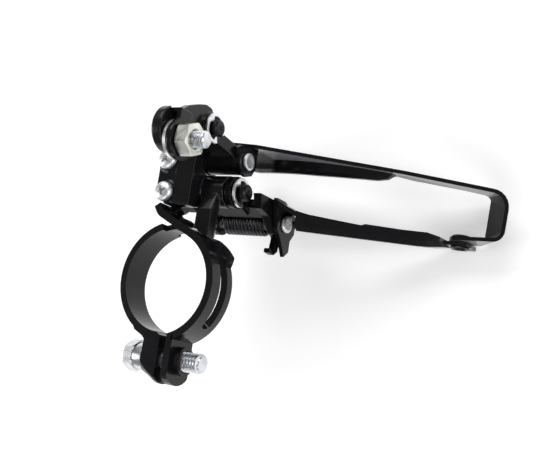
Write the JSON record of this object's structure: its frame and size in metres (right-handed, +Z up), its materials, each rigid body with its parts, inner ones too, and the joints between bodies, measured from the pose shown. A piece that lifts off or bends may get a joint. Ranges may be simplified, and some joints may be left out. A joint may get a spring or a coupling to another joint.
{
  "type": "front derailleur",
  "caption": "Band-clamped bicycle front derailleur: two parallel links on a bracket swing a two-plate chain cage outward when the cable arm is pulled, and a spring returns it.",
  "frame": {"origin": "on the seat tube's axis, at the middle of the clamp band's height", "axes": "+X forward on the bicycle, +Y to the rider's left, +Z up along the seat tube"},
  "size_m": [0.1066, 0.0843, 0.0741],
  "materials": {
    "paint": "gloss black",
    "zinc": "bright zinc plate",
    "dark_steel": "dark oiled steel"
  },
  "bodies": {
    "bracket": {"clamp_fixed_half": "paint", "body_bracket": "paint", "outer_pivot_pin": "dark_steel", "outer_pivot_clip": "zinc", "inner_pivot_pin": "dark_steel", "inner_pivot_clip": "zinc"},
    "strap": {"clamp_strap": "paint"},
    "collar": {"clamp_bolt_collar": "zinc"},
    "bolt": {"clamp_bolt": "zinc"},
    "low_screw": {"low_limit_screw": "zinc"},
    "high_screw": {"high_limit_screw": "zinc"},
    "outer_arm": {"outer_link": "paint", "cable_anchor_bolt": "zinc", "cable_anchor_washer": "zinc", "cable_clamp_plate": "paint"},
    "anchor_nut": {"cable_anchor_nut": "zinc"},
    "inner_arm": {"inner_link": "paint", "return_spring": "dark_steel"},
    "cage": {"cage_outer_plate": "paint", "cage_inner_plate": "paint", "outer_cage_rivet": "zinc", "inner_cage_rivet": "zinc", "cage_tail_eyelet": "dark_steel"}
  },
  "joints": [
    {"name": "outer_link_pivot", "type": "hinge", "parent": "bracket", "child": "outer_arm", "pos_m": [-0.0024, -0.0469, 0.006], "axis": [1, 0, 0], "range_deg": [-55, 0], "stiffness_Nm_per_rad": 0.3, "springref_deg": 57.3},
    {"name": "inner_link_pivot", "type": "hinge", "parent": "bracket", "child": "inner_arm", "pos_m": [-0.004, -0.03, -0.006], "axis": [1, 0, 0], "range_deg": [-55, 0]},
    {"name": "cage_pivot", "type": "hinge", "parent": "inner_arm", "child": "cage", "pos_m": [-0.008, -0.0241, -0.022], "axis": [1, 0, 0], "range_deg": [0, 55]},
    {"name": "clamp_opening", "type": "slide", "parent": "bracket", "child": "collar", "axis": [1, 0, 0], "range_m": [0, 0.0012]},
    {"name": "strap_hinge", "type": "hinge", "parent": "bracket", "child": "strap", "pos_m": [0.0015, -0.017, 0], "axis": [0, 0, 1], "range_deg": [-1.8, 0]},
    {"name": "clamp_bolt_turn", "type": "hinge", "parent": "collar", "child": "bolt", "pos_m": [0.011, 0.0234, 0], "axis": [1, 0, 0], "continuous": true},
    {"name": "low_screw_turn", "type": "hinge", "parent": "bracket", "child": "low_screw", "pos_m": [0.007, -0.027, 0.006], "axis": [0, 0, 1], "continuous": true},
    {"name": "high_screw_turn", "type": "hinge", "parent": "bracket", "child": "high_screw", "pos_m": [0.0075, -0.0372, 0.006], "axis": [0, 0, 1], "continuous": true},
    {"name": "anchor_nut_turn", "type": "hinge", "parent": "outer_arm", "child": "anchor_nut", "pos_m": [-0.013, -0.0379, 0.0235], "axis": [1, 0, 0], "continuous": true}
  ],
  "couplings": [
    {"joint": "inner_link_pivot", "follows": "outer_link_pivot", "ratio": 1},
    {"joint": "cage_pivot", "follows": "outer_link_pivot", "ratio": -1},
    {"joint": "strap_hinge", "follows": "clamp_opening", "rad_per_m": -24.7}
  ]
}
